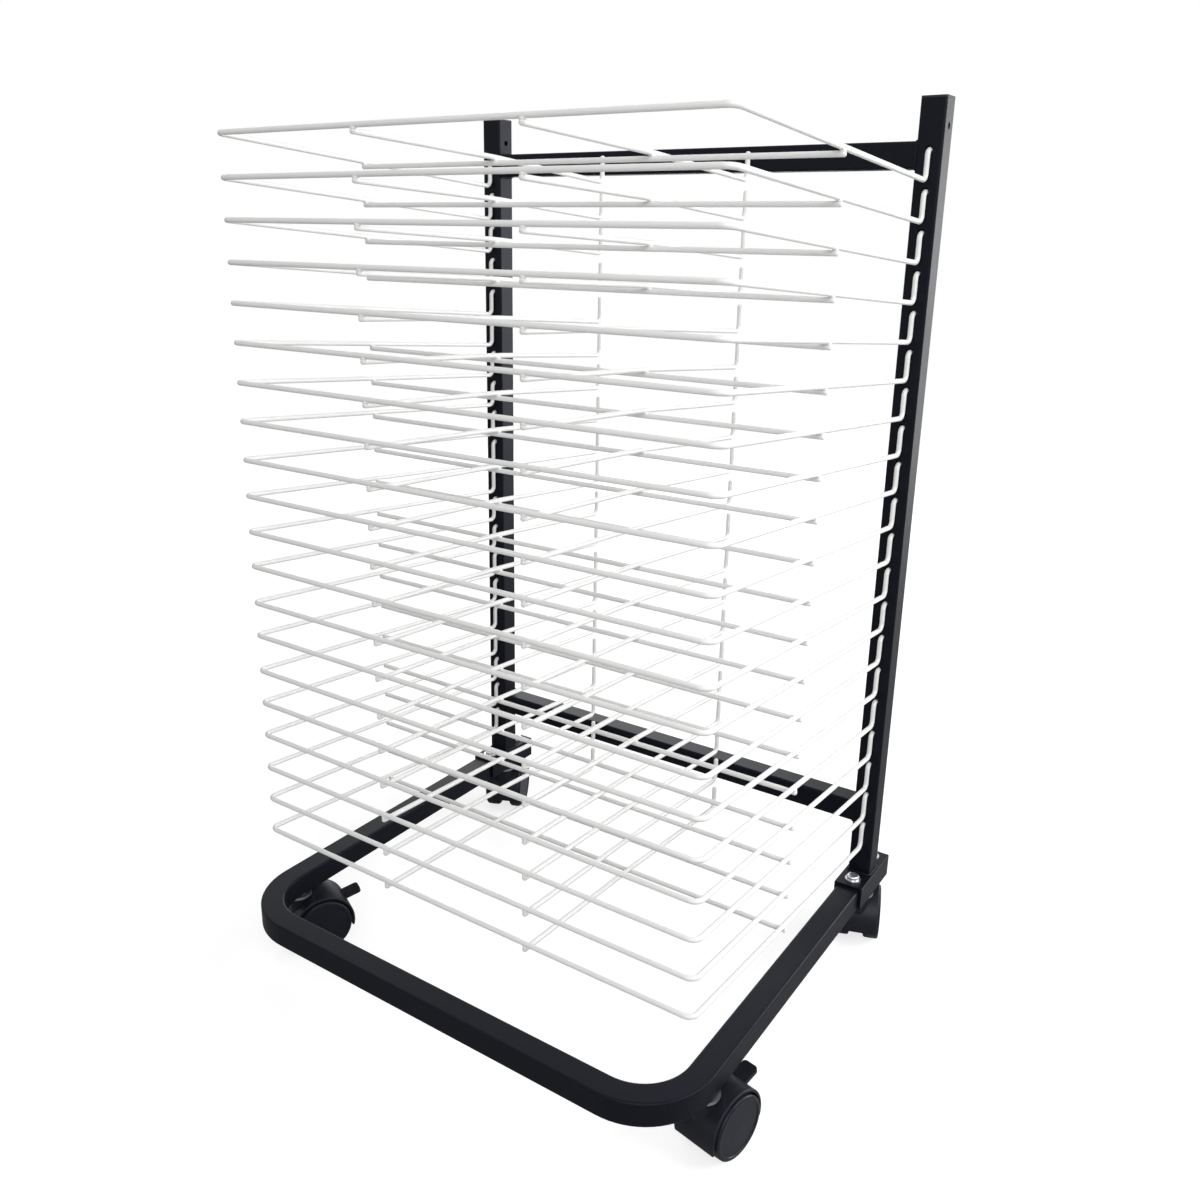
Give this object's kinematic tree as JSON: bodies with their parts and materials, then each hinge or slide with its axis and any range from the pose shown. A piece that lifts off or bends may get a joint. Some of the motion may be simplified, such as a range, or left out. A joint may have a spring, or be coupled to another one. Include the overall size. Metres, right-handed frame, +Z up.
{
  "type": "art drying rack",
  "caption": "Mobile art drying rack: a black tube frame on twin-wheel casters with a stack of white wire shelves that hinge up from the rear uprights.",
  "frame": {"origin": "on the floor under the middle of the rack, which is the bottom centre of its bounding box", "axes": "+Z up; -Y the open front where paper goes in; +Y the uprights; +X to the right as seen from the front"},
  "size_m": [0.4826, 0.4176, 0.738],
  "materials": {
    "white_coat": "satin",
    "black_coat": "satin powder coat",
    "black_plastic": "matte",
    "hood_plastic": "satin",
    "wheel_plastic": "satin",
    "zinc": "zinc plated"
  },
  "bodies": {
    "frame": {"left_upright": "black_coat", "right_upright": "black_coat", "top_crossbar": "black_coat", "bottom_crossbar": "black_coat", "base_frame": "black_coat", "left_saddle": "black_coat", "right_saddle": "black_coat", "upright_caps": "black_plastic", "base_end_plugs": "black_plastic", "saddle_screws": "zinc", "saddle_washers": "zinc", "saddle_inserts": "zinc", "caster_inserts": "zinc", "stem_washers": "zinc", "front_left_caster_stem": "zinc", "front_right_caster_stem": "zinc", "rear_left_caster_stem": "zinc", "rear_right_caster_stem": "zinc"},
    "shelf_01": {"shelf_01": "white_coat"},
    "shelf_02": {"shelf_02": "white_coat"},
    "shelf_03": {"shelf_03": "white_coat"},
    "shelf_04": {"shelf_04": "white_coat"},
    "shelf_05": {"shelf_05": "white_coat"},
    "shelf_06": {"shelf_06": "white_coat"},
    "shelf_07": {"shelf_07": "white_coat"},
    "shelf_08": {"shelf_08": "white_coat"},
    "shelf_09": {"shelf_09": "white_coat"},
    "shelf_10": {"shelf_10": "white_coat"},
    "shelf_11": {"shelf_11": "white_coat"},
    "shelf_12": {"shelf_12": "white_coat"},
    "shelf_13": {"shelf_13": "white_coat"},
    "shelf_14": {"shelf_14": "white_coat"},
    "shelf_15": {"shelf_15": "white_coat"},
    "shelf_16": {"shelf_16": "white_coat"},
    "shelf_17": {"shelf_17": "white_coat"},
    "shelf_18": {"shelf_18": "white_coat"},
    "shelf_19": {"shelf_19": "white_coat"},
    "shelf_20": {"shelf_20": "white_coat"},
    "front_left_caster": {"front_left_caster_hood": "hood_plastic", "front_left_caster_axle": "zinc"},
    "front_left_left_wheel": {"front_left_left_wheel": "wheel_plastic"},
    "front_left_right_wheel": {"front_left_right_wheel": "wheel_plastic"},
    "front_left_brake": {"front_left_brake_lever": "black_plastic"},
    "front_right_caster": {"front_right_caster_hood": "hood_plastic", "front_right_caster_axle": "zinc"},
    "front_right_left_wheel": {"front_right_left_wheel": "wheel_plastic"},
    "front_right_right_wheel": {"front_right_right_wheel": "wheel_plastic"},
    "front_right_brake": {"front_right_brake_lever": "black_plastic"},
    "rear_left_caster": {"rear_left_caster_hood": "hood_plastic", "rear_left_caster_axle": "zinc"},
    "rear_left_left_wheel": {"rear_left_left_wheel": "wheel_plastic"},
    "rear_left_right_wheel": {"rear_left_right_wheel": "wheel_plastic"},
    "rear_right_caster": {"rear_right_caster_hood": "hood_plastic", "rear_right_caster_axle": "zinc"},
    "rear_right_left_wheel": {"rear_right_left_wheel": "wheel_plastic"},
    "rear_right_right_wheel": {"rear_right_right_wheel": "wheel_plastic"}
  },
  "joints": [
    {"name": "shelf_01_lift", "type": "hinge", "parent": "frame", "child": "shelf_01", "pos_m": [0, 0.14875, 0.7], "axis": [-1, 0, 0], "range_deg": [0, 34]},
    {"name": "shelf_02_lift", "type": "hinge", "parent": "frame", "child": "shelf_02", "pos_m": [0, 0.14875, 0.67], "axis": [-1, 0, 0], "range_deg": [0, 3.5]},
    {"name": "shelf_03_lift", "type": "hinge", "parent": "frame", "child": "shelf_03", "pos_m": [0, 0.14875, 0.64], "axis": [-1, 0, 0], "range_deg": [0, 3.5]},
    {"name": "shelf_04_lift", "type": "hinge", "parent": "frame", "child": "shelf_04", "pos_m": [0, 0.14875, 0.61], "axis": [-1, 0, 0], "range_deg": [0, 3.5]},
    {"name": "shelf_05_lift", "type": "hinge", "parent": "frame", "child": "shelf_05", "pos_m": [0, 0.14875, 0.58], "axis": [-1, 0, 0], "range_deg": [0, 3.5]},
    {"name": "shelf_06_lift", "type": "hinge", "parent": "frame", "child": "shelf_06", "pos_m": [0, 0.14875, 0.55], "axis": [-1, 0, 0], "range_deg": [0, 3.5]},
    {"name": "shelf_07_lift", "type": "hinge", "parent": "frame", "child": "shelf_07", "pos_m": [0, 0.14875, 0.52], "axis": [-1, 0, 0], "range_deg": [0, 3.5]},
    {"name": "shelf_08_lift", "type": "hinge", "parent": "frame", "child": "shelf_08", "pos_m": [0, 0.14875, 0.49], "axis": [-1, 0, 0], "range_deg": [0, 3.5]},
    {"name": "shelf_09_lift", "type": "hinge", "parent": "frame", "child": "shelf_09", "pos_m": [0, 0.14875, 0.46], "axis": [-1, 0, 0], "range_deg": [0, 3.5]},
    {"name": "shelf_10_lift", "type": "hinge", "parent": "frame", "child": "shelf_10", "pos_m": [0, 0.14875, 0.43], "axis": [-1, 0, 0], "range_deg": [0, 3.5]},
    {"name": "shelf_11_lift", "type": "hinge", "parent": "frame", "child": "shelf_11", "pos_m": [0, 0.14875, 0.4], "axis": [-1, 0, 0], "range_deg": [0, 3.5]},
    {"name": "shelf_12_lift", "type": "hinge", "parent": "frame", "child": "shelf_12", "pos_m": [0, 0.14875, 0.37], "axis": [-1, 0, 0], "range_deg": [0, 3.5]},
    {"name": "shelf_13_lift", "type": "hinge", "parent": "frame", "child": "shelf_13", "pos_m": [0, 0.14875, 0.34], "axis": [-1, 0, 0], "range_deg": [0, 3.5]},
    {"name": "shelf_14_lift", "type": "hinge", "parent": "frame", "child": "shelf_14", "pos_m": [0, 0.14875, 0.31], "axis": [-1, 0, 0], "range_deg": [0, 3.5]},
    {"name": "shelf_15_lift", "type": "hinge", "parent": "frame", "child": "shelf_15", "pos_m": [0, 0.14875, 0.28], "axis": [-1, 0, 0], "range_deg": [0, 3.5]},
    {"name": "shelf_16_lift", "type": "hinge", "parent": "frame", "child": "shelf_16", "pos_m": [0, 0.14875, 0.25], "axis": [-1, 0, 0], "range_deg": [0, 3.5]},
    {"name": "shelf_17_lift", "type": "hinge", "parent": "frame", "child": "shelf_17", "pos_m": [0, 0.14875, 0.22], "axis": [-1, 0, 0], "range_deg": [0, 3.5]},
    {"name": "shelf_18_lift", "type": "hinge", "parent": "frame", "child": "shelf_18", "pos_m": [0, 0.14875, 0.19], "axis": [-1, 0, 0], "range_deg": [0, 3.5]},
    {"name": "shelf_19_lift", "type": "hinge", "parent": "frame", "child": "shelf_19", "pos_m": [0, 0.14875, 0.16], "axis": [-1, 0, 0], "range_deg": [0, 3.5]},
    {"name": "shelf_20_lift", "type": "hinge", "parent": "frame", "child": "shelf_20", "pos_m": [0, 0.14875, 0.13], "axis": [-1, 0, 0], "range_deg": [0, 3.5]},
    {"name": "front_left_swivel", "type": "hinge", "parent": "frame", "child": "front_left_caster", "pos_m": [-0.21, -0.145, 0.045], "axis": [0, 0, 1], "continuous": true},
    {"name": "front_left_left_roll", "type": "hinge", "parent": "front_left_caster", "child": "front_left_left_wheel", "pos_m": [-0.20183, -0.12896, 0.025], "axis": [0.891, -0.454, 0], "continuous": true},
    {"name": "front_left_right_roll", "type": "hinge", "parent": "front_left_caster", "child": "front_left_right_wheel", "pos_m": [-0.20183, -0.12896, 0.025], "axis": [0.891, -0.454, 0], "continuous": true},
    {"name": "front_left_brake_press", "type": "hinge", "parent": "front_left_caster", "child": "front_left_brake", "pos_m": [-0.19541, -0.11636, 0.03914], "axis": [-0.891, 0.454, 0], "range_deg": [0, 10]},
    {"name": "front_right_swivel", "type": "hinge", "parent": "frame", "child": "front_right_caster", "pos_m": [0.21, -0.145, 0.045], "axis": [0, 0, 1], "continuous": true},
    {"name": "front_right_left_roll", "type": "hinge", "parent": "front_right_caster", "child": "front_right_left_wheel", "pos_m": [0.21344, -0.12733, 0.025], "axis": [0.9816, -0.1908, 0], "continuous": true},
    {"name": "front_right_right_roll", "type": "hinge", "parent": "front_right_caster", "child": "front_right_right_wheel", "pos_m": [0.21344, -0.12733, 0.025], "axis": [0.9816, -0.1908, 0], "continuous": true},
    {"name": "front_right_brake_press", "type": "hinge", "parent": "front_right_caster", "child": "front_right_brake", "pos_m": [0.21613, -0.11345, 0.03914], "axis": [-0.9816, 0.1908, 0], "range_deg": [0, 10]},
    {"name": "rear_left_swivel", "type": "hinge", "parent": "frame", "child": "rear_left_caster", "pos_m": [-0.21, 0.158, 0.045], "axis": [0, 0, 1], "continuous": true},
    {"name": "rear_left_left_roll", "type": "hinge", "parent": "rear_left_caster", "child": "rear_left_left_wheel", "pos_m": [-0.21732, 0.17444, 0.025], "axis": [0.9135, 0.4067, 0], "continuous": true},
    {"name": "rear_left_right_roll", "type": "hinge", "parent": "rear_left_caster", "child": "rear_left_right_wheel", "pos_m": [-0.21732, 0.17444, 0.025], "axis": [0.9135, 0.4067, 0], "continuous": true},
    {"name": "rear_right_swivel", "type": "hinge", "parent": "frame", "child": "rear_right_caster", "pos_m": [0.21, 0.158, 0.045], "axis": [0, 0, 1], "continuous": true},
    {"name": "rear_right_left_roll", "type": "hinge", "parent": "rear_right_caster", "child": "rear_right_left_wheel", "pos_m": [0.20384, 0.17491, 0.025], "axis": [0.9397, 0.342, 0], "continuous": true},
    {"name": "rear_right_right_roll", "type": "hinge", "parent": "rear_right_caster", "child": "rear_right_right_wheel", "pos_m": [0.20384, 0.17491, 0.025], "axis": [0.9397, 0.342, 0], "continuous": true}
  ]
}
